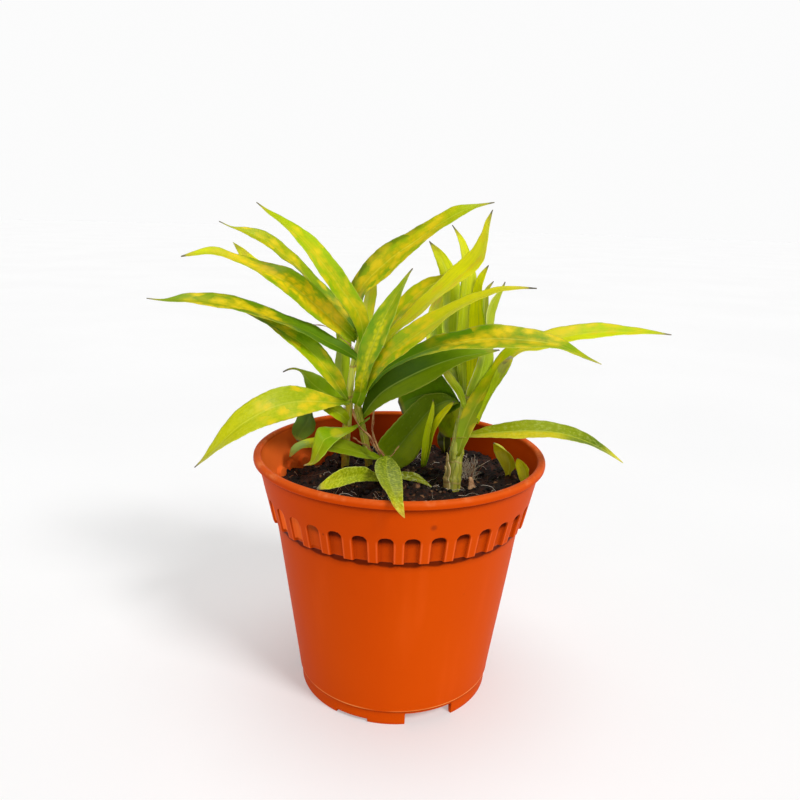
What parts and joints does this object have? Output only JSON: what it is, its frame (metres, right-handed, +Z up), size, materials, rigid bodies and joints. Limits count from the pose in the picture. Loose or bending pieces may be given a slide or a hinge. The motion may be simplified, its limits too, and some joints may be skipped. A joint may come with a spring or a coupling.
{
  "type": "potted dracaena",
  "caption": "Young gold-spotted dracaena with several thin leafy stems, growing in potting mix in a ribbed terracotta-orange plastic nursery pot.",
  "frame": {"origin": "under the middle of the whole plant's outline, at the level that the pot's feet stand on; the pot's axis stands 5.5 mm towards -X and 2.3 mm towards +Y of it", "axes": "+Z up; -Y is the front, the side that the picture shows; +X is the picture's right"},
  "size_m": [0.2598, 0.1551, 0.2541],
  "materials": {
    "pot": "satin moulded terracotta-orange plastic",
    "potting_mix": "damp dark peat and bark crumbs with fine pale roots",
    "stem": "smooth green young stem with pale leaf sheaths",
    "dry_leaf": "dry papery tan remains",
    "leaf": "glossy green leaf with soft golden spots and bands"
  },
  "bodies": {
    "root": {"pot": "pot", "potting_mix": "potting_mix", "stem_left_front": "stem", "stem_left_back": "stem", "stem_short_front": "stem", "stem_right": "stem", "stem_small_shoot": "stem", "dry_twig_1": "dry_leaf", "dry_twig_2": "dry_leaf", "dry_twig_3": "dry_leaf", "dry_twig_4": "dry_leaf", "dry_twig_5": "dry_leaf", "base_leaf_over_rim": "leaf", "left_leaf_front_upright": "leaf", "left_leaf_low_yellow": "leaf", "left_leaf_upper_long": "leaf", "left_leaf_far_reach": "leaf", "left_leaf_long_crossing": "leaf", "left_leaf_plain_yellow": "leaf", "left_leaf_long_spotted": "leaf", "left_leaf_top_spotted": "leaf", "left_leaf_shaded_to_right": "leaf", "left_leaf_low_folded": "leaf", "left_leaf_under_shade": "leaf", "left_leaf_spotted_wide": "leaf", "left_leaf_upper_mid": "leaf", "right_leaf_low_arching": "leaf", "right_leaf_far_reach": "leaf", "base_leaf_front_left": "leaf", "base_leaf_front_right": "leaf", "right_leaf_broad_shaded": "leaf", "right_leaf_upright_dark": "leaf", "right_leaf_upright_light": "leaf", "right_leaf_upright_yellow": "leaf", "right_leaf_edge_on": "leaf", "right_leaf_short_torn": "leaf", "right_leaf_dry_strip": "leaf", "right_leaf_upright_inner": "leaf", "shoot_leaf_upright": "leaf", "shoot_leaf_leaning": "leaf", "base_leaf_back_left": "leaf", "left_leaf_back_curled": "leaf", "left_leaf_curled_in_pot": "leaf", "right_leaf_shaded_back": "leaf", "right_leaf_back_hanging": "leaf", "left_leaf_upright_shaded": "leaf", "left_leaf_behind_spotted": "leaf", "left_leaf_behind_upright": "leaf", "left_leaf_hidden_tip": "leaf", "right_leaf_thin_tip": "leaf", "left_leaf_short_back": "leaf", "seedling_leaf": "leaf", "rim_leaf_inner": "leaf", "rim_leaf_outer": "leaf"}
  },
  "joints": []
}
